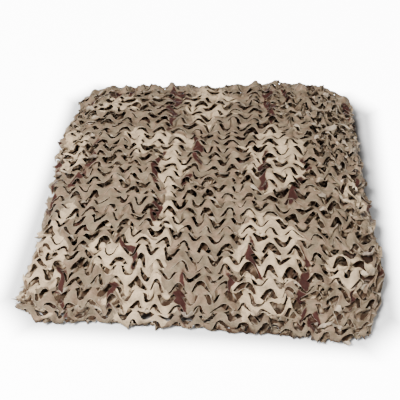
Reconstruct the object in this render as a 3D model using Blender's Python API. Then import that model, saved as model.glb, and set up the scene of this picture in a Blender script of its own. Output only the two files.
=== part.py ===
"""A camouflage net, folded back and forth into a low, soft, square bundle.

The net is one length of cloth, cut through with rows of leaf-shaped slits. It lies in
eight plies, a little apart, with four folds at the front and three at the back. The top
two plies roll over the front edge, and the free end of the top ply hangs over the back.
The plies are lofty in the middle and settle on each other towards the edges.

Metres, with +X to the right, +Y to the back and +Z up. The underside of the lowest ply
lies on Z = 0.
"""

import math
from collections import namedtuple

import bmesh
import bpy
import numpy as np

# ---------------------------------------------------------------- driving dimensions
LEAF_PITCH = 0.0438               # pitch of the slits in the cloth itself
CUT_PITCH = 1.65 * LEAF_PITCH     # pitch of the slits that are cut through here
CUT_COLUMNS = 10                  # slits across the top ply
CUT_ROWS = 10                     # pairs of slit lines along the top ply
SHEET = 0.002                     # thickness of the cloth with its curled leaves
HALF_WIDTH = 0.372                # middle of the bundle to either side edge
HALF_DEPTH = 0.352                # middle of the bundle to where the edges turn down
LEAST_SPACING = 0.0031            # plies at the settled edges, middle to middle
BOX_MIDDLE = (0.0020, 0.0093)     # middle of the finished outline, as the tables below count

# The bundle's section along its depth: where, from front -1 to back 1, and how high the
# top ply stands over the lowest one there.
Section = namedtuple("Section", "depth height")
SECTIONS = (
    Section(-1.00, 0.034),
    Section(-0.85, 0.051),
    Section(-0.66, 0.072),
    Section(-0.40, 0.089),
    Section(-0.12, 0.098),
    Section(0.18, 0.100),
    Section(0.50, 0.088),
    Section(0.80, 0.072),
    Section(1.00, 0.058),
)

# The plan of the bundle: where, from left -1 to right 1, how far the front and the back
# edge lie in from the half depth, and how much of the height is left.
Strip = namedtuple("Strip", "across front_in back_in height_share")
STRIPS = (
    Strip(-1.00, 0.020, 0.034, 0.50),
    Strip(-0.85, -0.001, 0.015, 0.78),
    Strip(-0.55, 0.009, 0.010, 0.97),
    Strip(0.00, 0.011, -0.004, 1.00),
    Strip(0.55, 0.006, -0.026, 0.97),
    Strip(0.85, -0.007, -0.013, 0.80),
    Strip(1.00, 0.008, 0.020, 0.52),
)

# The side edges: where, from front -1 to back 1, and how far they lie in.
Side = namedtuple("Side", "depth left_in right_in")
SIDES = (
    Side(-1.00, 0.007, 0.017),
    Side(-0.80, 0.012, -0.003),
    Side(-0.30, 0.015, 0.000),
    Side(0.30, -0.004, 0.014),
    Side(0.80, 0.003, 0.017),
    Side(1.00, 0.004, 0.020),
)

# The folds from the lowest up: each joins a ply to the next one. Reach is how far the
# fold stands out past the edge of the bundle, drift is how far the cloth has slid to the
# right there, and narrower is how far its side edges lie in from those of the top ply.
Fold = namedtuple("Fold", "edge reach drift narrower")
FOLDS = (
    Fold("front", -0.010, 0.002, 0.006),
    Fold("back", -0.006, -0.003, 0.007),
    Fold("front", -0.004, -0.003, 0.007),
    Fold("back", 0.004, 0.003, 0.005),
    Fold("front", -0.008, 0.003, 0.006),
    Fold("back", -0.003, -0.001, 0.004),
    Fold("front", 0.000, 0.000, 0.000),
)
TOP_END = Fold("back", 0.000, 0.000, 0.000)
LOW_END = Fold("back", -0.012, 0.002, 0.008)
PLIES = len(FOLDS) + 1

# How high each ply lies in the loft, which is what the bundle's height has over its
# settled plies: 0 is the lowest ply and 1 the top one.
LOFT_SHARES = (0.00, 0.14, 0.25, 0.39, 0.50, 0.64, 0.82, 1.00)

# Soft creases in the top of the bundle: middle, heading from +X, length, width, and how
# far the cloth rises there. A trough has a height below zero.
Crease = namedtuple("Crease", "x y heading length width height")
CREASES = (
    Crease(0.290, 0.080, 118, 0.34, 0.050, -0.007),
    Crease(0.120, -0.080, 96, 0.40, 0.090, 0.004),
    Crease(-0.030, 0.150, 78, 0.36, 0.080, -0.004),
    Crease(-0.190, -0.100, 102, 0.38, 0.090, 0.004),
    Crease(-0.270, 0.200, 60, 0.24, 0.060, -0.005),
    Crease(0.060, -0.270, 172, 0.44, 0.050, -0.003),
)

# The rolled front edge and the hanging free end at the back.
FRONT_ROLL_ANGLE = math.radians(78)
FRONT_ROLL_FOOT = 0.0085          # how high the rolled edge ends over the lowest ply
FRONT_ROLL_LENGTH = 0.038         # cloth taken up by the roll
BACK_HANG_ANGLE = math.radians(64)
BACK_HANG_RADIUS = 0.030
BACK_HANG_LENGTH = BACK_HANG_ANGLE * BACK_HANG_RADIUS

# The slits, as shares of their pitch.
WAVE_HEIGHT = 0.225               # half the height of the wave that a slit line follows
STEPS_PER_PITCH = 6               # points along a wave
STEPS_PER_SLIT = 4                # of which a slit takes these
FRONT_OPENING = 0.170             # width of a slit at its middle
BACK_OPENING = 0.100
LEAF_LIFT = 0.0030                # how far a leaf's free tip stands up
SEAT_SINK = 0.0015                # how far the cloth across the slit lies lower
EDGE_LEAF = 0.0035                # how far leaves stand out along the side edges

PLY_STEPS = 5                     # faces along each plain ply
BEND_STEPS = 3                    # faces round each fold
PLAIN_STEPS = (1, 3, 6, 8, 8, 10, 8, 8, 6, 3, 1)   # slit steps in each plain face

CLOTH_COLOUR = (0.42, 0.335, 0.235, 1.0)
CLOTH_ROUGHNESS = 0.85


# ---------------------------------------------------------------- shape of the bundle
def smooth_between(places, values, at):
    """A smooth curve through (places, values), read at the array `at`."""
    places = np.asarray(places, float)
    values = np.asarray(values, float)
    slopes = np.gradient(values, places)
    at = np.clip(at, places[0], places[-1])
    cell = np.clip(np.searchsorted(places, at, side="right") - 1, 0, len(places) - 2)
    width = places[cell + 1] - places[cell]
    u = (at - places[cell]) / width
    start = (1 + 2 * u) * (1 - u) ** 2 * values[cell] + u * (1 - u) ** 2 * width * slopes[cell]
    end = u ** 2 * (3 - 2 * u) * values[cell + 1] + u ** 2 * (u - 1) * width * slopes[cell + 1]
    return start + end


def column(table, name):
    """One named column of a table."""
    return [getattr(row, name) for row in table]


def read_table(table, name, at):
    """A named column of a table, read smoothly at `at` along the table's first column."""
    return smooth_between([row[0] for row in table], column(table, name), at)


def crease_height(x, y):
    """Rise of the top of the bundle at (x, y) through its creases."""
    rise = np.zeros(np.broadcast(x, y).shape)
    for crease in CREASES:
        heading = math.radians(crease.heading)
        along = (x - crease.x) * math.cos(heading) + (y - crease.y) * math.sin(heading)
        aside = (y - crease.y) * math.cos(heading) - (x - crease.x) * math.sin(heading)
        fade = np.exp(-(2 * along / crease.length) ** 2 - (2 * aside / crease.width) ** 2)
        rise = rise + crease.height * fade
    return rise


def plan(across, depth):
    """X and Y for `across` and `depth`, which both run from -1 to 1."""
    side_in = np.where(across < 0, read_table(SIDES, "left_in", depth),
                       read_table(SIDES, "right_in", depth))
    end_in = np.where(depth < 0, read_table(STRIPS, "front_in", across),
                      read_table(STRIPS, "back_in", across))
    x = across * (HALF_WIDTH - side_in)
    y = depth * (HALF_DEPTH - end_in)
    return x, y


def ply_height(level, across, depth):
    """Height of ply `level` over the lowest one, middle to middle, at (across, depth)."""
    x, y = plan(across, depth)
    height = read_table(SECTIONS, "height", depth) + crease_height(x, y)
    height = height * read_table(STRIPS, "height_share", across)
    loft = np.maximum(height - (PLIES - 1) * LEAST_SPACING, 0.0)
    return level * LEAST_SPACING + loft * LOFT_SHARES[level]


def ply_ends(level):
    """The front and the back end of ply `level`, counted from 0, as rows of the fold table."""
    near = [LOW_END] * (level == 0) + list(FOLDS[max(level - 1, 0):level + 1])
    near += [TOP_END] * (level == PLIES - 1)
    return sorted(near, key=lambda fold: fold.edge == "back")


def ply_point(level, across, depth):
    """Points of ply `level` between its two turned edges, as an array of X, Y, Z rows."""
    across, depth = np.broadcast_arrays(np.asarray(across, float), np.asarray(depth, float))
    front, back = ply_ends(level)
    share = (depth + 1) / 2
    drift = front.drift * (1 - share) + back.drift * share
    narrower = front.narrower * (1 - share) + back.narrower * share
    reach = back.reach * share - front.reach * (1 - share)
    x, y = plan(across, depth)
    z = SHEET / 2 + ply_height(level, across, depth)
    return np.stack([x + drift - narrower * across, y + reach, z], axis=-1)


def bend(lower, upper, outward, steps=BEND_STEPS):
    """Rows of points round a fold, from the upper ply's edge to the lower one's."""
    middle = (lower + upper) / 2
    arm = (upper - lower) / 2
    radius = np.linalg.norm(arm, axis=-1, keepdims=True)
    rows = []
    for step in range(1, steps):
        turn = math.pi * step / steps
        rows.append(middle + arm * math.cos(turn) + outward * radius * math.sin(turn))
    return rows


def front_roll(across, share, inner):
    """Points of the rolled front edge, from share 0 at the top to 1 at its foot.

    The outer ply turns about a level axis under the edge, and the inner ply turns about
    the same axis, as much closer to it as that ply lies lower.
    """
    top = ply_point(PLIES - 1, across, -1.0)
    gap = ply_height(PLIES - 1, across, -1.0) - ply_height(PLIES - 2, across, -1.0)
    drop = 1 - math.cos(FRONT_ROLL_ANGLE)
    radius = (top[..., 2] - SHEET / 2 - FRONT_ROLL_FOOT) / drop
    turn = FRONT_ROLL_ANGLE * np.asarray(share, float)
    arm = radius - gap * inner
    y = top[..., 1] - arm * np.sin(turn)
    z = top[..., 2] - radius + arm * np.cos(turn)
    return np.stack([top[..., 0] + 0 * y, y, z], axis=-1)


def back_hang(across, share):
    """Points of the free end that hangs over the back, from share 0 to 1 at its edge."""
    top = ply_point(PLIES - 1, across, 1.0)
    turn = BACK_HANG_ANGLE * np.asarray(share, float)
    y = top[..., 1] + BACK_HANG_RADIUS * np.sin(turn)
    z = top[..., 2] - BACK_HANG_RADIUS * (1 - np.cos(turn))
    return np.stack([top[..., 0] + 0 * y, y, z], axis=-1)


def top_point(across, along):
    """Points of the whole top ply; `along` is metres of cloth from the middle, back positive."""
    across, along = np.broadcast_arrays(np.asarray(across, float), np.asarray(along, float))
    flat = ply_point(PLIES - 1, across, np.clip(along / HALF_DEPTH, -1, 1))
    rolled = front_roll(across, np.clip((-along - HALF_DEPTH) / FRONT_ROLL_LENGTH, 0, 1), 0)
    hanging = back_hang(across, np.clip((along - HALF_DEPTH) / BACK_HANG_LENGTH, 0, 1))
    points = np.where((along < -HALF_DEPTH)[..., None], rolled, flat)
    return np.where((along > HALF_DEPTH)[..., None], hanging, points)


# ---------------------------------------------------------------- mesh of the cloth
def fine_stations():
    """Places across the top ply, in metres, with a plain margin at either side."""
    half = CUT_COLUMNS * CUT_PITCH / 2
    inner = np.linspace(-half, half, CUT_COLUMNS * STEPS_PER_PITCH + 1)
    return np.concatenate([[-HALF_WIDTH], inner, [HALF_WIDTH]])


def plain_indices():
    """Which of the fine stations the plain plies use."""
    return np.concatenate([[0], np.cumsum(PLAIN_STEPS)])


def slit_profile(line, stations):
    """How open slit line `line` is at each station: 1 at a slit's middle, 0 where uncut.

    Even lines are cut round the wave's crests and odd lines round its troughs.
    """
    phase = stations / CUT_PITCH + CUT_COLUMNS / 2 - 0.5 + (0.5 if line % 2 else 0.0)
    offset = np.abs(phase - np.round(phase)) * STEPS_PER_PITCH / (STEPS_PER_SLIT / 2)
    slit = np.round(phase)
    whole = (slit >= (1 if line % 2 else 0)) & (slit <= CUT_COLUMNS - 1)
    return np.where(whole & (offset < 1 - 1e-6), 1 - offset ** 2, 0.0)


def top_normal(across, along):
    """Unit normals of the top ply, from two short steps along it."""
    step = 1e-4
    aside = top_point(across + step, along) - top_point(across - step, along)
    onward = top_point(across, along + step) - top_point(across, along - step)
    normal = np.cross(aside, onward)
    return normal / np.linalg.norm(normal, axis=-1, keepdims=True)


def slit_line(line, stations):
    """The two sides of one slit line: points towards the back, towards the front, and cuts."""
    length = 2 * HALF_DEPTH + BACK_HANG_LENGTH + FRONT_ROLL_LENGTH
    lines = 2 * CUT_ROWS
    margin = (length - (lines - 1) * CUT_PITCH / 2) / 2
    middle = HALF_DEPTH + BACK_HANG_LENGTH - margin - line * CUT_PITCH / 2
    phase = stations / CUT_PITCH + CUT_COLUMNS / 2 - 0.5
    wave = WAVE_HEIGHT * CUT_PITCH * np.cos(2 * math.pi * phase)
    along = middle + wave
    share = np.clip((along / HALF_DEPTH + 1) / 2, 0, 1)
    opening = CUT_PITCH * (FRONT_OPENING * (1 - share) + BACK_OPENING * share)
    profile = slit_profile(line, stations)
    across = stations / HALF_WIDTH
    across[[0, -1]] *= 1 + EDGE_LEAF / HALF_WIDTH * (1 if line % 2 else -1)
    before = top_point(across, along + opening * profile / 2)
    after = top_point(across, along - opening * profile / 2)
    leaf, seat = (before, after) if line % 2 else (after, before)
    normal = top_normal(across, along) * profile[:, None]
    leaf += LEAF_LIFT * normal
    seat -= SEAT_SINK * normal
    return before, after, profile > 0


def add_line(mesh, points):
    """Vertices for a row of points."""
    return [mesh.verts.new(point) for point in points]


def join_rows(mesh, upper, lower):
    """Quads between two rows of as many vertices."""
    for index in range(len(upper) - 1):
        mesh.faces.new((upper[index], upper[index + 1], lower[index + 1], lower[index]))


def join_fine_to_plain(mesh, fine, plain, indices):
    """Triangles from a fine row to a plain one, which has the fine row's chosen stations."""
    for index in range(len(plain) - 1):
        run = fine[indices[index]:indices[index + 1] + 1]
        split = len(run) // 2
        for step in range(split):
            mesh.faces.new((run[step], run[step + 1], plain[index]))
        mesh.faces.new((run[split], plain[index + 1], plain[index]))
        for step in range(split, len(run) - 1):
            mesh.faces.new((run[step], run[step + 1], plain[index + 1]))


def add_top_ply(mesh, stations):
    """The slit top ply, from its free end to the foot of the rolled edge."""
    across = stations / HALF_WIDTH
    previous = add_line(mesh, top_point(across, HALF_DEPTH + BACK_HANG_LENGTH))
    for line in range(2 * CUT_ROWS):
        before, after, cut = slit_line(line, stations)
        upper = add_line(mesh, before)
        lower = [mesh.verts.new(point) if is_cut else vertex
                 for point, is_cut, vertex in zip(after, cut, upper)]
        join_rows(mesh, previous, upper)
        previous = lower
    foot = add_line(mesh, top_point(across, -HALF_DEPTH - FRONT_ROLL_LENGTH))
    join_rows(mesh, previous, foot)
    return foot


def plain_rows(across):
    """Rows of points of everything under the top ply, in the order of the cloth."""
    outer_foot = front_roll(across, 1.0, 0)
    inner_foot = front_roll(across, 1.0, 1)
    heading = np.array([0.0, -math.cos(FRONT_ROLL_ANGLE), -math.sin(FRONT_ROLL_ANGLE)])
    rows = bend(inner_foot, outer_foot, heading)
    rows += [front_roll(across, share, 1) for share in (1.0, 0.66, 0.33)]
    for level in range(PLIES - 2, -1, -1):
        to_back = FOLDS[level].edge == "front"
        depths = np.linspace(-1, 1, PLY_STEPS + 1) * (1 if to_back else -1)
        rows += [ply_point(level, across, depth) for depth in depths]
        if level:
            outward = np.array([0.0, 1.0 if to_back else -1.0, 0.0])
            ends = ply_point(level - 1, across, depths[-1]), ply_point(level, across, depths[-1])
            rows += bend(ends[0], ends[1], outward)
    return rows


def make_material(name, colour, roughness):
    """A plain cloth material."""
    material = bpy.data.materials.new(name)
    material.use_nodes = True
    shader = material.node_tree.nodes["Principled BSDF"]
    shader.inputs["Base Color"].default_value = colour
    shader.inputs["Roughness"].default_value = roughness
    return material


def make_net():
    """The folded net as one solid."""
    stations = fine_stations()
    indices = plain_indices()
    mesh = bmesh.new()
    foot = add_top_ply(mesh, stations)
    rows = [add_line(mesh, points) for points in plain_rows(stations[indices] / HALF_WIDTH)]
    join_fine_to_plain(mesh, foot, rows[0], indices)
    for upper, lower in zip(rows, rows[1:]):
        join_rows(mesh, upper, lower)
    bmesh.ops.recalc_face_normals(mesh, faces=mesh.faces)
    data = bpy.data.meshes.new("net")
    mesh.to_mesh(data)
    mesh.free()
    data.materials.append(make_material("desert_cloth", CLOTH_COLOUR, CLOTH_ROUGHNESS))
    net = bpy.data.objects.new("net", data)
    bpy.context.scene.collection.objects.link(net)
    wall = net.modifiers.new("cloth thickness", "SOLIDIFY")
    wall.thickness = SHEET
    wall.offset = 0.0
    net.location = (-BOX_MIDDLE[0], -BOX_MIDDLE[1], 0.0)
    return net


def main():
    """Clears the scene and models the net."""
    for thing in list(bpy.data.objects):
        bpy.data.objects.remove(thing)
    make_net()


main()
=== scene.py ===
"""The looks of a folded camouflage net: one long leaf-cut cloth in eight plies.

The cloth is followed along its whole length, from the free end that hangs over the back
of the bundle to the free end of the lowest ply. Its slits, curled leaves and printed
patches are worked out on that length, and every ply of it is one thin piece that lies on
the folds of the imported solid.

A place on the cloth is `aside`, the metres to the right of its middle line, and `along`,
the metres of cloth from the top free end. On the top ply `forward` is the metres from the
ply's middle toward the back. Points are rows of X, Y and Z.
"""
import logging
import math
from dataclasses import dataclass
from enum import Enum
from typing import Any, Callable, NamedTuple

import bpy
import mathutils
import numpy as np
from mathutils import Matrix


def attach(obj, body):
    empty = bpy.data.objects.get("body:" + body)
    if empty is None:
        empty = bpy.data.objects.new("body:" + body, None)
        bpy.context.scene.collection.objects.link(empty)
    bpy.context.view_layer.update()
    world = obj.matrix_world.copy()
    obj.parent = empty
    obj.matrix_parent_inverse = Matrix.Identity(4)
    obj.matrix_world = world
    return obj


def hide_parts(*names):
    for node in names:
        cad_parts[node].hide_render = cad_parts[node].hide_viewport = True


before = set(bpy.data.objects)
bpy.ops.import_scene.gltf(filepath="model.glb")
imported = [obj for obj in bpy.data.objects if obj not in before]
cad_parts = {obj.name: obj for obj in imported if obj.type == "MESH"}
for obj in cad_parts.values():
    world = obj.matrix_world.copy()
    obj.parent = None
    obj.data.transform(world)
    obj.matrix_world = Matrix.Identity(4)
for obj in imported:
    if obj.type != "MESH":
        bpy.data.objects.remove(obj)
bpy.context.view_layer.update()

LOG = logging.getLogger("camouflage_net")
Array = np.ndarray
Span = tuple[float, ...]
Thing = bpy.types.Object
Material = bpy.types.Material


def bell(value: Array, middle: float, width: float) -> Array:
    """1 where `value` is `middle`, fading to both sides: exp(-((value - middle) / width)^2)."""
    return np.exp(-((value - middle) / width) ** 2)


def ramp(value: Array, start: float, length: float, least: Any = 0.0) -> Array:
    """Rises evenly from 0 at `start` to 1 after `length`, and is `least` at least."""
    return np.clip((value - start) / length, least, 1)


# ---- the folded bundle
class Curve(NamedTuple):
    """A smooth curve through given points, in rising order of `places`."""

    places: Span
    values: Span

    def read(self, at: Array) -> Array:
        """Reads the curve, a cubic Hermite curve with the slopes of its points.

        Args:
            at: places, of which those past the first or last point count as that point.

        Returns:
            The values there.
        """
        where, worth = np.array(self.places), np.array(self.values)
        slopes = np.gradient(worth, where)
        at = np.clip(at, where[0], where[-1])
        cell = np.clip(np.searchsorted(where, at, side="right") - 1, 0, len(where) - 2)
        width = where[cell + 1] - where[cell]
        u = (at - where[cell]) / width
        start = (1 + 2 * u) * (1 - u) ** 2 * worth[cell] + u * (1 - u) ** 2 * width * slopes[cell]
        end = u ** 2 * (3 - 2 * u) * worth[cell + 1] + u ** 2 * (u - 1) * width * slopes[cell + 1]
        return start + end


class Fold(NamedTuple):
    """A fold or free end: how far it stands out, has slid right, and is narrower."""

    reach: float
    drift: float
    narrower: float


class Crease(NamedTuple):
    """A soft trough or ridge in the top of the bundle, heading counted from +X."""

    x: float
    y: float
    heading: float
    length: float
    width: float
    height: float


class Stretch(Enum):
    """The kinds of stretch that the cloth's way through the bundle is made of."""

    HANGING_END = "the free end over the back"
    FLAT = "a ply between its two turned edges"
    OUTER_ROLL = "the top ply round the front edge"
    INNER_ROLL = "the second ply round the front edge"
    FOOT_FOLD = "the fold under the rolled front edge"
    FOLD = "a fold between two plies"


class Leg(NamedTuple):
    """One stretch of the cloth, with the ply that it belongs to and its length in metres."""

    kind: Stretch
    level: int
    length: float


ENDS_ACROSS = (-1.00, -0.85, -0.55, 0.00, 0.55, 0.85, 1.00)
SIDES_IN_DEPTH = (-1.00, -0.80, -0.30, 0.30, 0.80, 1.00)


@dataclass(frozen=True)
class Bundle:
    """The form of the folded net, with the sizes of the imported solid, in metres.

    `across` runs from left -1 to right 1 and `depth` from front -1 to back 1. A ply's
    `level` counts from 0 at the floor. The curves give the top ply's height over the
    lowest one, how far the ends and the side edges lie in, and the height left near the
    sides; `loft_shares` is how much of the loft over the settled plies each ply takes.
    `folds` goes from the low free end, at the back, to the top one, and lies at the front
    and at the back in turn.
    """

    half_width: float = 0.372
    half_depth: float = 0.352
    solid_sheet: float = 0.002
    least_spacing: float = 0.0031
    box_middle: tuple[float, float] = (0.0020, 0.0093)
    roll_angle: float = math.radians(78)
    roll_foot: float = 0.0085
    roll_length: float = 0.052
    inner_roll_length: float = 0.04576
    hang_angle: float = math.radians(64)
    hang_radius: float = 0.030
    loft_shares: Span = (0.00, 0.14, 0.25, 0.39, 0.50, 0.64, 0.82, 1.00)
    height: Curve = Curve((-1.00, -0.85, -0.66, -0.40, -0.12, 0.18, 0.50, 0.80, 1.00),
                          (0.034, 0.051, 0.072, 0.089, 0.098, 0.100, 0.088, 0.072, 0.058))
    height_left: Curve = Curve(ENDS_ACROSS, (0.50, 0.78, 0.97, 1.00, 0.97, 0.80, 0.52))
    front_in: Curve = Curve(ENDS_ACROSS, (0.020, -0.001, 0.009, 0.011, 0.006, -0.007, 0.008))
    back_in: Curve = Curve(ENDS_ACROSS, (0.034, 0.015, 0.010, -0.004, -0.026, -0.013, 0.020))
    left_in: Curve = Curve(SIDES_IN_DEPTH, (0.007, 0.012, 0.015, -0.004, 0.003, 0.004))
    right_in: Curve = Curve(SIDES_IN_DEPTH, (0.017, -0.003, 0.000, 0.014, 0.017, 0.020))
    folds: tuple[Fold, ...] = (
        Fold(-0.012, 0.002, 0.008), Fold(-0.010, 0.002, 0.006), Fold(-0.006, -0.003, 0.007),
        Fold(-0.004, -0.003, 0.007), Fold(0.004, 0.003, 0.005), Fold(-0.008, 0.003, 0.006),
        Fold(0.010, -0.001, 0.004), Fold(0.0, 0.0, 0.0), Fold(0.0, 0.0, 0.0),
    )
    creases: tuple[Crease, ...] = (
        Crease(0.290, 0.080, 118, 0.34, 0.050, -0.007),
        Crease(0.120, -0.080, 96, 0.40, 0.090, 0.004),
        Crease(-0.030, 0.150, 78, 0.36, 0.080, -0.004),
        Crease(-0.190, -0.100, 102, 0.38, 0.090, 0.004),
        Crease(-0.270, 0.200, 60, 0.24, 0.060, -0.005),
        Crease(0.060, -0.270, 172, 0.44, 0.050, -0.003),
    )

    @property
    def top(self) -> int:
        """The level of the top ply."""
        return len(self.folds) - 2

    @property
    def hang_length(self) -> float:
        """Cloth in the free end that hangs over the back."""
        return self.hang_angle * self.hang_radius

    def crease_height(self, x: Array, y: Array) -> Array:
        """Sums the creases: each is a bell, drawn out along its heading.

        Args:
            x, y: places on the plan.

        Returns:
            How far the top of the bundle is raised there.
        """
        rise = np.zeros(np.broadcast(x, y).shape)
        for crease in self.creases:
            turn = math.radians(crease.heading)
            along = (x - crease.x) * math.cos(turn) + (y - crease.y) * math.sin(turn)
            over = (y - crease.y) * math.cos(turn) - (x - crease.x) * math.sin(turn)
            fade = bell(along, 0, crease.length / 2) * bell(over, 0, crease.width / 2)
            rise = rise + crease.height * fade
        return rise

    def plan(self, across: Array, depth: Array) -> tuple[Array, Array]:
        """Turns shares into metres: each times the half size less what the edge lies in.

        Args:
            across: places across.
            depth: places in depth.

        Returns:
            X and Y on the bundle's plan.
        """
        side_in = np.where(across < 0, self.left_in.read(depth), self.right_in.read(depth))
        end_in = np.where(depth < 0, self.front_in.read(across), self.back_in.read(across))
        return across * (self.half_width - side_in), depth * (self.half_depth - end_in)

    def ply_height(self, level: int, across: Array, depth: Array) -> Array:
        """Height of a ply over the lowest one: settled plies plus its share of the loft.

        Args:
            level: the ply.
            across: places across.
            depth: places in depth.

        Returns:
            The heights.
        """
        height = self.height.read(depth) + self.crease_height(*self.plan(across, depth))
        height = height * self.height_left.read(across)
        loft = np.maximum(height - self.top * self.least_spacing, 0.0)
        return level * self.least_spacing + loft * self.loft_shares[level]

    def ply_ends(self, level: int) -> tuple[Fold, Fold]:
        """The front and the back end of a ply."""
        lower, upper = self.folds[level:level + 2]
        return (lower, upper) if level % 2 else (upper, lower)

    def ply_point(self, level: int, across: Array, depth: Array) -> Array:
        """Points of a ply between its turned edges: its plan, drift and height.

        Args:
            level: the ply.
            across: places across.
            depth: places in depth.

        Returns:
            The points.
        """
        front, back = self.ply_ends(level)
        share = (depth + 1) / 2
        drift = front.drift * (1 - share) + back.drift * share
        narrower = front.narrower * (1 - share) + back.narrower * share
        reach = back.reach * share - front.reach * (1 - share)
        x, y = self.plan(across, depth)
        z = self.solid_sheet / 2 + self.ply_height(level, across, depth)
        return np.stack([x + drift - narrower * across, y + reach, z], axis=-1)

    def roll_point(self, across: Array, share: Array, inner: int) -> Array:
        """Points of the rolled front edge: an arc about a level axis under the edge.

        Args:
            across: places across.
            share: 0 at the top of the roll and 1 at its foot.
            inner: 0 for the top ply and 1 for the one under it.

        Returns:
            The points.
        """
        edge = np.full_like(across, -1.0)
        x, y, z = np.moveaxis(self.ply_point(self.top, across, edge), -1, 0)
        gap = self.ply_height(self.top, across, edge) - self.ply_height(self.top - 1, across, edge)
        drop = z - self.solid_sheet / 2 - self.roll_foot
        radius = drop / (1 - math.cos(self.roll_angle))
        turn, arm = self.roll_angle * share, radius - gap * inner
        return np.stack([x, y - arm * np.sin(turn), z - radius + arm * np.cos(turn)], axis=-1)

    def hang_point(self, across: Array, share: Array) -> Array:
        """Points of the free end over the back: an arc that drops from the back edge.

        Args:
            across: places across.
            share: 0 at the back edge and 1 at the free end.

        Returns:
            The points.
        """
        x, y, z = np.moveaxis(self.ply_point(self.top, across, np.ones_like(across)), -1, 0)
        turn, radius = self.hang_angle * share, self.hang_radius
        return np.stack([x, y + radius * np.sin(turn), z - radius * (1 - np.cos(turn))], axis=-1)

    @staticmethod
    def fold_point(upper: Array, lower: Array, outward: Array, share: Array) -> Array:
        """Points of a fold: a half circle from the upper edge to the lower one.

        Args:
            upper, lower: points of the two edges.
            outward: the direction in which the fold bulges.
            share: 0 at the upper edge and 1 at the lower one.

        Returns:
            The points.
        """
        middle, arm = (upper + lower) / 2, (upper - lower) / 2
        radius = np.linalg.norm(arm, axis=-1, keepdims=True)
        turn = (math.pi * share)[..., None]
        return middle + arm * np.cos(turn) + outward * radius * np.sin(turn)


class ClothWay(Bundle):
    """The whole length of cloth on its way through the bundle."""

    def legs(self) -> list[Leg]:
        """Lays out the cloth. A fold is half the circle that spans the gap of its plies.

        Returns:
            The stretches in order, from the top free end to the lowest one.
        """
        middle = np.zeros(1)
        legs = [Leg(Stretch.HANGING_END, self.top, self.hang_length)]
        for level in range(self.top, 0, -1):
            edge = middle - 1 if level % 2 else middle + 1
            gap = self.ply_height(level, middle, edge) - self.ply_height(level - 1, middle, edge)
            bend = float(gap[0]) * math.pi / 2
            legs.append(Leg(Stretch.FLAT, level, 2 * self.half_depth))
            if level == self.top:
                legs += [Leg(Stretch.OUTER_ROLL, level, self.roll_length),
                         Leg(Stretch.FOOT_FOLD, level, bend),
                         Leg(Stretch.INNER_ROLL, level - 1, self.inner_roll_length)]
            else:
                legs.append(Leg(Stretch.FOLD, level, bend))
        return legs + [Leg(Stretch.FLAT, 0, 2 * self.half_depth)]

    def starts(self) -> Array:
        """How far along the cloth each stretch starts, and where the last one ends."""
        return np.cumsum([0.0] + [leg.length for leg in self.legs()])

    @property
    def top_length(self) -> float:
        """Cloth from the top free end to the foot of the rolled front edge."""
        return 2 * self.half_depth + self.hang_length + self.roll_length

    def on_top(self, along: Array) -> Array:
        """Whether places lie in the top ply, its rolled front edge or its hanging end."""
        return along < self.top_length

    def forward(self, along: Array) -> Array:
        """Metres from the top ply's middle toward the back."""
        return self.half_depth + self.hang_length - along

    def from_fold(self, along: Array) -> Array:
        """Measures how far places are from the turned edges of their plies.

        Args:
            along: places along the cloth.

        Returns:
            Metres of cloth to the nearest end of the ply, and 0 in the folds.
        """
        nearest = np.zeros(np.shape(along))
        starts = self.starts()
        for leg, start, end in zip(self.legs(), starts, starts[1:]):
            if leg.kind is Stretch.FLAT:
                nearest = np.maximum(nearest, np.minimum(along - start, end - along))
        return nearest

    def leg_point(self, leg: Leg, across: Array, share: Array) -> Array:
        """Points of one stretch.

        Args:
            leg: the stretch.
            across: places across.
            share: places along the stretch, from 0 to 1.

        Returns:
            The points, in the bundle's own frame.
        """
        level = leg.level
        if leg.kind is Stretch.HANGING_END:
            return self.hang_point(across, 1 - share)
        if leg.kind is Stretch.OUTER_ROLL:
            return self.roll_point(across, share, 0)
        if leg.kind is Stretch.INNER_ROLL:
            return self.roll_point(across, 1 - share, 1)
        if leg.kind is Stretch.FLAT:
            return self.ply_point(level, across, (2 * share - 1) * (-1 if level % 2 else 1))
        if leg.kind is Stretch.FOOT_FOLD:
            foot, turn = np.ones_like(across), self.roll_angle
            upper, lower = (self.roll_point(across, foot, inner) for inner in (0, 1))
            return self.fold_point(upper, lower, np.array([0.0, -math.cos(turn), -math.sin(turn)]),
                                   share)
        side = -1.0 if level % 2 else 1.0
        upper, lower = (self.ply_point(ply, across, np.full_like(across, side))
                        for ply in (level, level - 1))
        return self.fold_point(upper, lower, np.array([0.0, side, 0.0]), share)

    def point(self, aside: Array, along: Array) -> Array:
        """Points of the whole cloth.

        Args:
            aside, along: places on the cloth.

        Returns:
            The points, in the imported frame.
        """
        aside, along = np.broadcast_arrays(aside, along)
        across = aside / self.half_width
        points = np.zeros(aside.shape + (3,))
        starts = self.starts()
        number = np.searchsorted(starts[1:-1], along, side="right")
        for order, leg in enumerate(self.legs()):
            here = number == order
            if here.any():
                share = (along[here] - starts[order]) / leg.length
                points[here] = self.leg_point(leg, across[here], share)
        points[..., :2] -= self.box_middle
        return points

    def printed_normal(self, aside: Array, along: Array) -> Array:
        """Normals on the printed side: the cross product of a step along and one aside.

        Args:
            aside, along: places on the cloth.

        Returns:
            The unit normals.
        """
        step = 2e-4
        onward = self.point(aside, along + step) - self.point(aside, along - step)
        sideways = self.point(aside + step, along) - self.point(aside - step, along)
        normal = np.cross(onward, sideways)
        return normal / np.linalg.norm(normal, axis=-1, keepdims=True)


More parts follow.
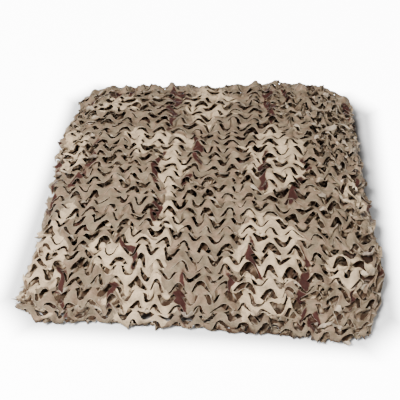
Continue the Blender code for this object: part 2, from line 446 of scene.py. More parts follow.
# ---- slits and leaves
@dataclass(frozen=True)
class Ripple:
    """A soft uneven field: a sum of plane waves of seeded headings and phases.

    Its spread is `height`, and `uneasy` more for each unit of the cloth's unrest.
    """

    seed: int
    shortest: float
    longest: float
    height: float = 1.0
    uneasy: float = 0.0
    waves: int = 28

    def unit(self, x: Array, y: Array) -> Array:
        """Sums the waves, of which the longer ones are higher.

        Args:
            x, y: places.

        Returns:
            The field there, of about unit spread.
        """
        draw = np.random.default_rng(self.seed)
        length = self.shortest * (self.longest / self.shortest) ** draw.random(self.waves)
        heading = draw.random(self.waves) * 2 * math.pi
        phase = draw.random(self.waves) * 2 * math.pi
        size = length ** 0.5 / math.sqrt(np.sum(length) / 2)
        total = np.zeros(np.broadcast(x, y).shape)
        for span, turn, shift, height in zip(length, heading, phase, size):
            ahead = x * math.cos(turn) + y * math.sin(turn)
            total = total + height * np.sin(2 * math.pi * ahead / span + shift)
        return total

    def read(self, x: Array, y: Array, unrest: Any = 0.0) -> Array:
        """The field at (x, y), at its height."""
        return self.unit(x, y) * (self.height + self.uneasy * unrest)

    def ridges(self, x: Array, y: Array, unrest: Array) -> Array:
        """Sharp ridges along the lines where the field is 0, at its height."""
        return (1 - np.abs(self.unit(x, y))) * (self.height + self.uneasy * unrest)


@dataclass(frozen=True)
class SlitLines:
    """The rows of slits: parallel wave lines, cut round their crests or their troughs.

    Line 0 is the first one from the top free end. Even lines are cut round the troughs,
    whose leaves point along the cloth, and odd lines round the crests.
    """

    pitch: float = 0.0438
    wave: float = 0.010512
    blunt: float = 0.05
    scallop: float = 0.0060
    tail: float = 0.022
    slit_share: float = 0.375
    bridge: float = 1e-6
    first: float = 0.0192
    crest: float = 0.0087
    columns: int = 22

    def middle(self, line: Array) -> Array:
        """How far along the cloth a line lies, halfway between crests and troughs."""
        return self.first + line * self.pitch / 2

    def bow(self, aside: Array) -> Array:
        """The wave that every line follows: a cosine whose third harmonic blunts it."""
        turn = 2 * math.pi * (aside - self.crest) / self.pitch
        return -self.wave * (np.cos(turn) - self.blunt * np.cos(3 * turn))

    def nearest_slit(self, line: Array, aside: Array) -> tuple[Array, Array, Array]:
        """Finds each place's slit on a line.

        Args:
            line: line numbers.
            aside: places across the cloth.

        Returns:
            The slit's column, the place from its middle as a share of its half length,
            and whether the line is cut there.
        """
        turns = (aside - self.crest) / self.pitch - (1 - line % 2) / 2
        nearest = np.round(turns)
        column = np.clip(nearest.astype(int) + self.columns // 2, 0, self.columns - 1)
        u = (turns - nearest) / self.slit_share
        return column, u, np.abs(u) < 1 - self.bridge

    def slit_middle(self, lines: int) -> tuple[Array, Array]:
        """Finds the middle of every slit, which is the tip of its crest or trough.

        Args:
            lines: the number of slit lines.

        Returns:
            Places aside and along, as arrays of lines by columns.
        """
        line = np.arange(lines)[:, None]
        column = np.arange(self.columns)[None, :] - self.columns // 2
        aside = self.crest + (column + (1 - line % 2) / 2) * self.pitch
        tip = np.where(line % 2 == 0, self.wave, -self.wave)
        return aside, self.middle(line) + tip + 0 * aside


class Zone(NamedTuple):
    """A round part of the top ply where the cloth lies uneasy.

    There the slits gape more and the leaves curl more, by these amounts at its middle,
    and the cloth is drawn toward the middle by the share `gather` of its distance.
    """

    aside: float
    forward: float
    reach: float
    gape: float
    curl: float
    gather: float = 0.0


@dataclass(frozen=True)
class LeafHabit:
    """How the leaves lie, as seeded arrays of lines by columns.

    Openings, shifts and narrowings are shares of the pitch, curls and twists are radians,
    and lengths are metres. A `_rise` is the arguments of a ramp and a `_spot` those of a
    bell, `even` and `odd` are the kinds of line, and `foot` is the foot of the rolled edge.
    """

    way: ClothWay = ClothWay()
    lines: SlitLines = SlitLines()
    seed: int = 11
    front_opening: float = 0.077
    back_opening: float = 0.070
    below_opening: float = 0.150
    widest_opening: float = 0.34
    opening_spread: float = 0.66
    seat_share: Span = (0.2, 0.6)
    widest_seat: float = 0.12
    end_overlap: float = 0.070
    end_rise: Span = (0.0102, 0.034)
    closed_end_rise: Span = (0.0, 0.080)
    closed_hem_rise: Span = (0.0, 0.060, 0.1)
    behind_foot: float = 0.045
    behind_foot_least: float = 0.7
    zone_gape_rise: Span = (0.020, 0.080)
    hem_gape: float = 0.6
    hem_spot: Span = (0.0, 0.045)
    back_spot: Span = (0.0, 0.110)
    foot_gape: float = 1.1
    foot_gape_spot: Span = (-0.014, 0.012)
    foot_unrest: float = 0.4
    foot_unrest_spot: Span = (0.0, 0.045)
    unrest_below: float = 0.35
    narrowing: float = 0.110
    narrowing_spread: float = 0.4
    gape_narrowing: float = 0.6
    leftward: float = 0.048
    leftward_spread: float = 0.5
    lively_share: Span = (0.27, 0.45)
    curl_spread: float = 0.32
    even_curl: float = 0.20
    odd_curl: float = -0.12
    lively_curl: float = 0.30
    lively_gamma: Span = (2.0, 0.24)
    unrest_curl: Span = (0.8, 0.3)
    flip_share: float = 0.35
    flip_curl: float = -0.8
    foot_curl: float = 0.35
    foot_curl_spot: Span = (-0.008, 0.018)
    curl_limits: Span = (-1.2, 1.8)
    twist_spread: float = 0.34
    lively_twist: float = 0.45
    twist_limits: Span = (-0.9, 0.9)
    calm_rise: Span = (0.015, 0.045, 0.1)
    calm_corner: float = 0.9
    calm_below: float = 0.8
    lift_spread: float = 0.0012
    even_lift: float = -0.0016
    odd_lift: float = 0.0020
    zones: tuple[Zone, ...] = (
        Zone(-0.320, -0.290, 0.100, 0.8, 0.7),
        Zone(-0.170, -0.340, 0.080, 0.4, 0.5),
        Zone(0.320, 0.280, 0.120, 2.0, 0.8, 0.20),
        Zone(0.330, 0.110, 0.110, 1.8, 0.9, 0.22),
        Zone(0.320, -0.080, 0.100, 1.6, 0.9, 0.18),
        Zone(0.310, -0.310, 0.140, 2.0, 1.1, 0.16),
        Zone(0.100, -0.370, 0.080, 0.9, 0.9),
        Zone(0.210, 0.230, 0.100, 1.1, 0.7, 0.14),
        Zone(-0.340, 0.100, 0.070, 1.0, 0.9),
        Zone(-0.310, 0.280, 0.090, 2.2, 0.9, 0.12),
        Zone(-0.200, -0.150, 0.070, 0.6, 0.5),
        Zone(0.020, -0.080, 0.060, 0.5, 0.5),
    )

    def zone_sums(self, aside: Array, along: Array) -> Array:
        """Sums what the zones do to the top ply, each fading as a bell from its middle.

        Args:
            aside, along: places on the cloth.

        Returns:
            Four arrays: the gape, the unrest, and the metres that the cloth is drawn
            aside and along.
        """
        forward, on_top = self.way.forward(along), self.way.on_top(along)
        sums = np.zeros((4,) + np.broadcast(aside, along).shape)
        for zone in self.zones:
            right, ahead = aside - zone.aside, forward - zone.forward
            near = bell(np.hypot(right, ahead), 0.0, zone.reach) * on_top
            pull = zone.gather * near
            sums += [zone.gape * near, zone.curl * near, -pull * right, pull * ahead]
        return sums

    def opening(self, aside: Array, along: Array) -> tuple[Array, Array]:
        """How far the slits open before anything is drawn.

        On the top ply they open less near the hanging end. Under it they are closed at
        the folds and the hem, so that the pieces' joints and the floor stay hidden.

        Args:
            aside, along: places on the cloth.

        Returns:
            The opening, and the ease, 0 to 1, that the leaves' other moves also have.
        """
        on_top = self.way.on_top(along)
        front = np.clip(0.5 - self.way.forward(along) / (2 * self.way.half_depth), 0, 1)
        opening = self.back_opening + (self.front_opening - self.back_opening) * front
        behind_foot = along < self.way.top_length + self.behind_foot
        least = np.where(behind_foot, self.behind_foot_least, 0.0)
        closed = ramp(self.way.from_fold(along), *self.closed_end_rise, least)
        closed = closed * ramp(self.way.half_width - np.abs(aside), *self.closed_hem_rise)
        ease = ramp(along, *self.end_rise)
        opening = np.where(on_top, opening * ease, self.below_opening * closed)
        return opening, ease * np.where(on_top, 1.0, closed)

    def draw(self, count: int) -> dict[str, Array]:
        """Draws every slit's habit.

        Args:
            count: the number of slit lines.

        Returns:
            Arrays by name: gap and seat_gap, how far the leaf and the strap draw back
            from the slit; shift and narrow, how far the leaf's tip slides aside and draws
            in; its curl and twist; and lift, how far the strap rises.
        """
        draw = np.random.default_rng(self.seed)
        shape = (count, self.lines.columns)
        aside, along = self.lines.slit_middle(count)
        on_top, past_foot = self.way.on_top(along), along - self.way.top_length
        even = np.arange(count)[:, None] % 2 == 0
        near_hem = bell(self.way.half_width - np.abs(aside), *self.hem_spot)
        corner = near_hem * bell(along, *self.back_spot)
        gape, unrest, _, _ = self.zone_sums(aside, along)
        unrest = unrest + self.foot_unrest * bell(past_foot, *self.foot_unrest_spot) * on_top
        gape = gape * ramp(along, *self.zone_gape_rise) + on_top * (
            self.hem_gape * near_hem + self.foot_gape * bell(past_foot, *self.foot_gape_spot))
        opening, ease = self.opening(aside, along)
        gap = opening * draw.lognormal(0.0, self.opening_spread, shape) * (1 + gape)
        ease = ease * (1 - corner)
        overlap = self.end_overlap * (1 - ease)
        lively = draw.random(shape) < self.lively_share[0] + self.lively_share[1] * unrest
        curl = draw.normal(0.0, self.curl_spread, shape)
        curl += np.where(even, self.even_curl, self.odd_curl)
        curl += lively * (self.lively_curl + draw.gamma(*self.lively_gamma, shape)) * (
            self.unrest_curl[0] + self.unrest_curl[1] * unrest)
        curl = np.where(draw.random(shape) < self.flip_share, self.flip_curl * curl, curl)
        foot = bell(past_foot, *self.foot_curl_spot) * even
        curl = curl * (1 - foot) + (np.abs(curl) + self.foot_curl) * foot
        side = np.where(even, self.leftward, -self.leftward)
        shift = side * draw.normal(1.0, self.leftward_spread, shape)
        twist = draw.normal(0.0, self.twist_spread, shape)
        twist += lively * draw.normal(0.0, self.lively_twist, shape)
        calm = ramp(along, *self.calm_rise) * (1 - self.calm_corner * corner)
        calm = np.where(on_top, calm, self.calm_below)
        seat_gap = np.clip(gap * draw.uniform(*self.seat_share, shape), 0.0, self.widest_seat)
        narrow = self.narrowing * draw.normal(1.0, self.narrowing_spread, shape)
        lift = draw.normal(0.0, self.lift_spread, shape)
        return {
            "gap": np.clip(gap, 0.0, self.widest_opening) - overlap,
            "seat_gap": seat_gap - overlap,
            "shift": shift * ease,
            "narrow": np.clip(narrow, 0, None) * ease * (1 + self.gape_narrowing * gape),
            "curl": np.clip(curl, *self.curl_limits) * calm,
            "twist": np.clip(twist, *self.twist_limits) * calm,
            "lift": (lift + np.where(even, self.even_lift, self.odd_lift)) * calm,
        }


class ClothGrid(NamedTuple):
    """The cloth of one piece: arrays of bands by rows by stations, and its vertices."""

    aside: Array
    along: Array
    points: Array
    raw_edge_and_highlight: Array
    index: Array


@dataclass(frozen=True)
class LeafCloth:
    """Works out the leaf-cut cloth, band by band, between its slit lines.

    Ripples are read again `apart` metres away where they move the cloth another way.
    """

    way: ClothWay = ClothWay()
    lines: SlitLines = SlitLines()
    habit: LeafHabit = LeafHabit()
    steps_per_pitch: int = 12
    least_step: float = 0.4
    thickness: float = 0.0007
    leaf_length: float = 0.62
    highest_tip: float = 0.008
    least_curl: float = 1e-3
    bend_power: float = 1.5
    tip_power: float = 1.3
    end_power: int = 10
    leaf_powers: Span = (3, 0.7)
    sway: Ripple = Ripple(5, 0.060, 0.260, 0.0018)
    slide: Ripple = Ripple(6, 0.070, 0.300, 0.0032)
    lean: Ripple = Ripple(7, 0.070, 0.300, 0.0032)
    hem: Ripple = Ripple(8, 0.030, 0.090, 0.0030)
    crumple: Ripple = Ripple(9, 0.026, 0.075, 0.0012, 0.0012)
    jostle: Ripple = Ripple(10, 0.030, 0.080, 0.0011, 0.0020)
    brow: Ripple = Ripple(12, 0.020, 0.060)
    pucker: Ripple = Ripple(13, 0.014, 0.032, 0.00112, 0.00192)
    apart: Span = (3.0, 5.0, 9.0)
    hem_in: float = 0.0045
    hem_reach: float = 0.030
    stiff_hem_rise: Span = (0.0, 0.014, 0.7)
    foot_height: float = 0.0030
    foot_spot: Span = (0.0, 0.016)
    foot_bumps: float = 0.7
    tuck: float = 0.0032
    tuck_rise: Span = (0.004, 0.010)
    tuck_end: Span = (0.054, 0.018)
    tuck_flattening: float = 0.6
    brow_height: float = 0.0036
    brow_spot: Span = (0.028, 0.022)
    brow_wave: float = 0.7
    brow_drop: float = 1.2

    def line_count(self) -> int:
        """How many slit lines the whole cloth has."""
        half_pitch = self.lines.pitch / 2
        return int((self.way.starts()[-1] - self.lines.first - half_pitch) / half_pitch) + 1

    def stations(self) -> Array:
        """Lays out the rows' vertices: even steps from the crests, and both side edges.

        Returns:
            Places across the cloth, from left to right.
        """
        half = self.way.half_width
        step = self.lines.pitch / self.steps_per_pitch
        low = math.ceil((-half - self.lines.crest) / step + self.least_step)
        high = math.floor((half - self.lines.crest) / step - self.least_step)
        inner = self.lines.crest + np.arange(low, high + 1) * step
        return np.concatenate([[-half], inner, [half]])

    def slit_moves(self, habit: dict[str, Array], u: Array, v: Array, ahead: float,
                   ) -> tuple[Array, Array]:
        """How far the leaf and the strap at a slit move from where they were cut.

        A leaf bends along a circle from its root to its tip, by its curl. Its tip also
        draws back from the slit, slides aside, and rolls about its own length. A strap
        draws back and rises or sinks a little. Every move fades to nothing at the slit's
        two ends, as 1 - |u|^n does.

        Args:
            habit: the slit's habit at each point.
            u: place along the slit, -1 to 1.
            v: place in the band, 0 at its other edge and 1 at the slit.
            ahead: 1 where the slit lies along the cloth from the band, else -1.

        Returns:
            The leaf's moves and the strap's: metres aside, along, and up.
        """
        pitch, curl = self.lines.pitch, habit["curl"]
        width = np.clip(1 - u ** self.end_power, 0, None)
        broad = np.clip(1 - np.abs(u) ** self.leaf_powers[0], 0, None) ** self.leaf_powers[1]
        reach = self.leaf_length * pitch * broad
        angle = np.where(np.abs(curl) < self.least_curl, self.least_curl, curl)
        bent, tip = v ** self.bend_power, v ** self.tip_power * width * pitch
        back = reach * (bent - np.sin(angle * bent) / angle) + habit["gap"] * tip
        aside = (habit["shift"] - habit["narrow"] * u) * tip
        roll = habit["twist"] * u * v * width * self.lines.slit_share * pitch
        up = reach * (1 - np.cos(angle * bent)) / angle + roll
        up = self.highest_tip * np.tanh(up / self.highest_tip)
        strap_back = habit["seat_gap"] * pitch * width * bent
        return (np.stack([aside, -ahead * back, up]),
                np.stack([0 * back, -ahead * strap_back, habit["lift"] * width * v]))

    def grid(self, first: int, last: int, rows: Span) -> ClothGrid:
        """Works out the bands from `first` up to `last`.

        Band b lies between line b - 1 and line b. The rows of a band run from its upper
        line, at 0, to its lower one, at 1. Even bands are leaves and odd ones straps.
        Neighbouring bands share the vertices of a line wherever it is uncut.

        Args:
            first: the first band.
            last: the band after the last one.
            rows: places of the rows in a band.

        Returns:
            The piece's grid.
        """
        total = self.line_count()
        band = np.arange(first, last)[:, None, None]
        row = np.asarray(rows)[None, :, None]
        station = self.stations()[None, None, :]
        bow = self.lines.bow(station)
        end = self.lines.scallop * (1 + bow / self.lines.wave) - self.lines.tail
        upper = np.where(band == 0, end, self.lines.middle(band - 1) + bow)
        lower = np.where(band == total, self.way.starts()[-1], self.lines.middle(band) + bow)
        along = upper * (1 - row) + lower * row
        aside = station + 0 * along
        habits = self.habit.draw(total)
        moves = np.zeros((3,) + along.shape)
        edge = np.zeros(along.shape)
        for line, exists, v, ahead in (
            (band - 1, band > 0, 1 - row, -1.0),
            (band, band < total, row + 0.0, 1.0),
        ):
            column, u, cut = self.lines.nearest_slit(line, aside)
            number = np.clip(line, 0, total - 1) + 0 * column
            habit = {name: values[number, column] for name, values in habits.items()}
            cut = exists & cut
            leaf, strap = self.slit_moves(habit, u, v, ahead)
            moves += np.where(cut, np.where(band % 2 == 0, leaf, strap), 0.0)
            # Cut edges are marked for a pale raw-edge tone, which is partly a painted highlight.
            edge = np.maximum(edge, cut & (v == 1))
        points = self.place(aside, along, moves)
        edge[..., [0, -1]] = 1.0
        return ClothGrid(aside, along, points, edge, self.vertex_index(band, aside, along))

    def unevenness(self, aside: Array, along: Array, unrest: Array) -> Array:
        """How far the cloth strays from its way, apart from the moves of its leaves.

        It sways, slides and crumples, more where it lies uneasy. The hem waves in and
        out and up and down, and the cloth humps up at the back edge and at the foot of
        the rolled front edge. Behind that foot it is tucked in and lies flatter.

        Args:
            aside, along: places on the cloth.
            unrest: how uneasy the cloth lies there.

        Returns:
            Three arrays: metres aside, along, and up on the printed side.
        """
        side, half = np.sign(aside), self.way.half_width
        near_hem = (1 - ramp(half - np.abs(aside), 0.0, self.hem_reach)) ** 2
        hem_in = self.hem.read(side * self.apart[0], along) - self.hem_in
        move_aside = self.slide.read(aside, along) + side * near_hem * hem_in
        move_aside = move_aside + self.jostle.read(aside, along, unrest)
        move_along = self.lean.read(aside, along)
        move_along = move_along + self.jostle.read(along + self.apart[2], aside, unrest)
        up = self.sway.read(aside, along) + self.crumple.read(aside, along, unrest)
        up = up + self.pucker.ridges(aside, along, unrest)
        up = up + near_hem * self.hem.read(side * self.apart[1], along)
        wave, brow = self.lines.bow(aside) / self.lines.wave, self.brow.read(aside, along)
        past_foot = along - self.way.top_length
        humps = self.foot_height * (wave + self.foot_bumps * brow)
        up = up + humps * bell(past_foot, *self.foot_spot)
        humps = self.brow_height * (brow - self.brow_wave * wave - self.brow_drop)
        up = up + humps * bell(along, *self.brow_spot)
        return np.stack([move_aside, move_along, up])

    def place(self, aside: Array, along: Array, moves: Array) -> Array:
        """Points of the moved cloth, none of which reaches through the floor.

        Args:
            aside, along: places on the cloth.
            moves: how far the leaves and straps move: metres aside, along and up.

        Returns:
            The points.
        """
        half = self.way.half_width
        moves = moves * ramp(half - np.abs(aside), *self.stiff_hem_rise)
        _, unrest, draw_aside, draw_along = self.habit.zone_sums(aside, along)
        unrest = np.where(self.way.on_top(along), unrest, self.habit.unrest_below)
        moves = moves + self.unevenness(aside, along, unrest)
        past_foot = along - self.way.top_length
        tucked = ramp(past_foot, *self.tuck_rise) * (1 - ramp(past_foot, *self.tuck_end))
        up = moves[2] * (1 - self.tuck_flattening * tucked) + self.tuck * tucked
        aside, along = aside + moves[0] + draw_aside, along + moves[1] + draw_along
        points = self.way.point(aside, along)
        points += self.way.printed_normal(aside, along) * up[..., None]
        points[..., 2] = np.maximum(points[..., 2], self.thickness / 2)
        return points

    def vertex_index(self, band: Array, aside: Array, along: Array) -> Array:
        """Numbers the vertices, so that both sides of an uncut stretch have one number.

        Args:
            band: the bands' numbers.
            aside, along: places on the cloth before it moves.

        Returns:
            The numbers.
        """
        index = np.arange(along.size).reshape(along.shape)
        _, _, cut = self.lines.nearest_slit(band[1:, 0, :] - 1, aside[1:, 0, :])
        index[1:, 0, :] = np.where(cut, index[1:, 0, :], index[:-1, -1, :])
        return index


# ---- the print
class Blot(NamedTuple):
    """An ellipse of the print on the top ply; `lean` turns its far end right, in degrees."""

    aside: float
    forward: float
    half_width: float
    half_length: float
    lean: float = 0.0


def blots(*rows: Span) -> tuple[Blot, ...]:
    """Blots from rows of millimetres, and degrees for the lean."""
    return tuple(Blot(*(size / 1000 for size in row[:4]), *row[4:]) for row in rows)


def depth_inside(patches: tuple[Blot, ...], x: Array, y: Array) -> Array:
    """How deep each place lies inside the blots.

    A blot's depth is (1 - d) times its half width, where d is the distance from its
    middle, counted in half widths across it and in half lengths along it.

    Args:
        patches: the blots.
        x: places aside.
        y: places forward.

    Returns:
        The greatest depth in metres, less than 0 outside all of them.
    """
    deepest = np.full(np.broadcast(x, y).shape, -1.0)
    for blot in patches:
        turn = math.radians(blot.lean)
        right, ahead = x - blot.aside, y - blot.forward
        along = ahead * math.cos(turn) + right * math.sin(turn)
        over = right * math.cos(turn) - ahead * math.sin(turn)
        away = np.hypot(over / blot.half_width, along / blot.half_length)
        deepest = np.maximum(deepest, (1 - away) * blot.half_width)
    return deepest


@dataclass(frozen=True)
class DesertPrint:
    """The print of pale sand patches and red-brown streaks on khaki.

    The top ply follows the tables, with wandering edges. The other plies follow drawn-out
    ripples: sand where one is high, and streaks along the zero line of another, where a
    third is high.
    """

    way: ClothWay = ClothWay()
    patches: tuple[Blot, ...] = blots(
        (-325, 65, 45, 90), (-245, 255, 46, 50), (-155, 90, 50, 50), (-80, 0, 40, 110),
        (-15, 255, 60, 100), (150, 35, 60, 110), (-335, -250, 45, 125), (-145, -255, 90, 55),
        (-110, -345, 70, 60), (-80, -170, 35, 50), (135, -250, 70, 120), (285, -240, 45, 45),
        (330, -50, 30, 60),
    )
    streaks: tuple[Blot, ...] = blots(
        (-270, 40, 6, 45, 0), (-300, -40, 7, 34, 38), (-107, 240, 8.5, 110, -5),
        (-88, 300, 9, 26, -30), (-228, 340, 9, 34, -8), (-112, -10, 7, 50, 4),
        (-38, 60, 7, 52, -10), (-40, -44, 7, 22, 40), (-357, 20, 6, 36, 6),
        (-361, -75, 6, 46, -3), (-325, 280, 7, 40, 14), (-285, 318, 8, 34, 78),
        (131, 255, 8.5, 90, -4), (168, 305, 9, 28, -12), (129, -10, 7, 58, 5),
        (192, -60, 10, 38, 22), (216, 10, 6, 28, 2), (352, 290, 7, 46, 6), (342, -10, 6, 28, 10),
        (-279, -325, 9, 62, -16), (-152, -250, 6, 40, -30), (-172, -335, 6, 26, -8),
        (-110, -143, 9, 34, 8), (-26, -335, 6.5, 50, -10), (106, -247, 8, 42, -20),
        (70, -312, 7, 34, -14), (208, -300, 6.5, 72, -4), (328, -205, 7, 22, 30),
        (305, -292, 6, 22, -8), (368, -60, 6, 22, 4), (236, -365, 6, 22, 0),
    )
    wander: Ripple = Ripple(21, 0.040, 0.110)
    wander_apart: Span = (4.0, 2.0)
    patch_wander: Span = (0.010, 0.016)
    streak_wander: float = 0.004
    sand_below: Ripple = Ripple(22, 0.130, 0.420, 0.030)
    sand_drawn_out: float = 0.6
    streak_line: Ripple = Ripple(23, 0.120, 0.380, 0.045)
    streak_drawn_out: Span = (1.6, 0.35)
    streak_half_width: float = 0.009
    streak_reach: Ripple = Ripple(24, 0.090, 0.260, 0.012)
    streak_least: float = 0.004
    below_rise: Span = (0.01, 0.02)

    def fields(self, aside: Array, along: Array) -> tuple[Array, Array]:
        """How deep each place lies inside sand and inside a streak.

        Args:
            aside, along: places on the cloth.

        Returns:
            The depth in sand and the depth in a streak, in metres.
        """
        forward = self.way.forward(along)
        x = aside + self.patch_wander[0] * self.wander.read(aside, forward)
        y = self.wander.read(forward + self.wander_apart[0], aside)
        top_sand = depth_inside(self.patches, x, forward + self.patch_wander[1] * y)
        x = self.wander.read(aside + self.wander_apart[1], forward)
        top_streak = depth_inside(self.streaks, aside + self.streak_wander * x, forward)
        sand = self.sand_below.read(aside, along * self.sand_drawn_out)
        quick, slow = self.streak_drawn_out
        streak = self.streak_half_width - np.abs(self.streak_line.read(aside * quick, along * slow))
        streak = np.minimum(streak, self.streak_reach.read(aside, along) - self.streak_least)
        below = ramp(along - self.way.top_length, *self.below_rise)
        return (top_sand * (1 - below) + sand * below,
                top_streak * (1 - below) + streak * below)


# ---- shader nodes
Colour = tuple[float, float, float, float]
WHITE: Colour = (1.0, 1.0, 1.0, 1.0)
BLACK: Colour = (0.0, 0.0, 0.0, 1.0)


def operator(operation: str, swapped: bool = False) -> Callable[["Level", Any], "Level"]:
    """Makes a method of Level that adds one Math node.

    Args:
        operation: the node's operation.
        swapped: whether the other value comes first, as a reflected operator has it.

    Returns:
        The method.
    """
    def method(level: "Level", other: Any) -> "Level":
        """The operation on the level and the other value, which may be a number."""
        return level.math(operation, *((other, level) if swapped else (level, other)))
    return method


class Level:
    """A number socket of a shader, whose arithmetic adds Math nodes."""

    __add__, __radd__ = operator("ADD"), operator("ADD", swapped=True)
    __sub__, __rsub__ = operator("SUBTRACT"), operator("SUBTRACT", swapped=True)
    __mul__, __rmul__ = operator("MULTIPLY"), operator("MULTIPLY", swapped=True)
    larger = operator("MAXIMUM")

    def __init__(self, graph: "Graph", socket: Any) -> None:
        """Wraps an output socket of the graph."""
        self.graph, self.socket = graph, socket

    def math(self, operation: str, *values: Any) -> "Level":
        """Adds one Math node with these values, in order."""
        node = self.graph.node("ShaderNodeMath", dict(enumerate(values)), operation=operation)
        return Level(self.graph, node.outputs[0])

    def sine(self) -> "Level":
        """The sine of self, in radians."""
        return self.math("SINE", self)

    def smooth_step(self, low: float, high: float) -> "Level":
        """Steps smoothly from 0 to 1.

        Args:
            low: the value up to which the step is 0.
            high: the value from which it is 1.

        Returns:
            The step.
        """
        inputs = {"Value": self, "From Min": low, "From Max": high}
        node = self.graph.node("ShaderNodeMapRange", inputs, interpolation_type="SMOOTHSTEP")
        return Level(self.graph, node.outputs[0])


class Noise(NamedTuple):
    """A noise round 0: how far it swings, its cells a metre, its detail and roughness."""

    swing: float
    scale: float
    detail: float = 2.0
    rough: float = 0.5


class Graph:
    """The node tree of one new material or world."""

    def __init__(self, owner: Any) -> None:
        """Turns on the owner's nodes."""
        owner.use_nodes = True
        self.owner, self.tree = owner, owner.node_tree

    def put(self, socket: Any, value: Any) -> None:
        """Sets or links a socket.

        Args:
            socket: the input socket.
            value: a constant, or a Level or an output to link.
        """
        if isinstance(value, Level):
            value = value.socket
        if isinstance(value, bpy.types.NodeSocket):
            self.tree.links.new(value, socket)
        else:
            socket.default_value = value

    def node(self, kind: str, inputs: dict[Any, Any], **settings: Any) -> Any:
        """Adds a node.

        Args:
            kind: the node's type.
            inputs: values or links of its sockets, by name or number.
            settings: its own settings, which are set first.

        Returns:
            The node.
        """
        node = self.tree.nodes.new(kind)
        for name, value in settings.items():
            setattr(node, name, value)
        for name, value in inputs.items():
            self.put(node.inputs[name], value)
        return node

    def attribute(self, name: str) -> Level:
        """A named number that the mesh carries."""
        return Level(self, self.node("ShaderNodeAttribute", {}, attribute_name=name).outputs["Fac"])

    def mix(self, factor: Any, first: Any, second: Any) -> Any:
        """A colour between two colours."""
        inputs = {0: factor, 6: first, 7: second}
        return self.node("ShaderNodeMix", inputs, data_type="RGBA").outputs[2]

    def noise(self, vector: Any, noise: Noise) -> Level:
        """Adds a noise.

        Args:
            vector: the place.
            noise: the kind of noise.

        Returns:
            The noise there, from about -swing / 2 to swing / 2.
        """
        inputs = {"Vector": vector, "Scale": noise.scale, "Detail": noise.detail,
                  "Roughness": noise.rough}
        field = Level(self, self.node("ShaderNodeTexNoise", inputs).outputs["Fac"])
        return (field - 0.5) * noise.swing

    def shade(self, **inputs: Any) -> None:
        """Sets or links the shader's sockets; an underscore stands for a space."""
        for name, value in inputs.items():
            self.put(self.tree.nodes["Principled BSDF"].inputs[name.replace("_", " ")], value)


def from_display(red: int, green: int, blue: int) -> Colour:
    """Turns a display colour into a shader colour, by the sRGB curve.

    Args:
        red, green, blue: the display colour, 0 to 255.

    Returns:
        The shader colour.
    """
    shares = np.array([red, green, blue]) / 255
    linear = np.where(shares <= 0.04045, shares / 12.92, ((shares + 0.055) / 1.055) ** 2.4)
    return tuple(float(share) for share in linear) + (1.0,)


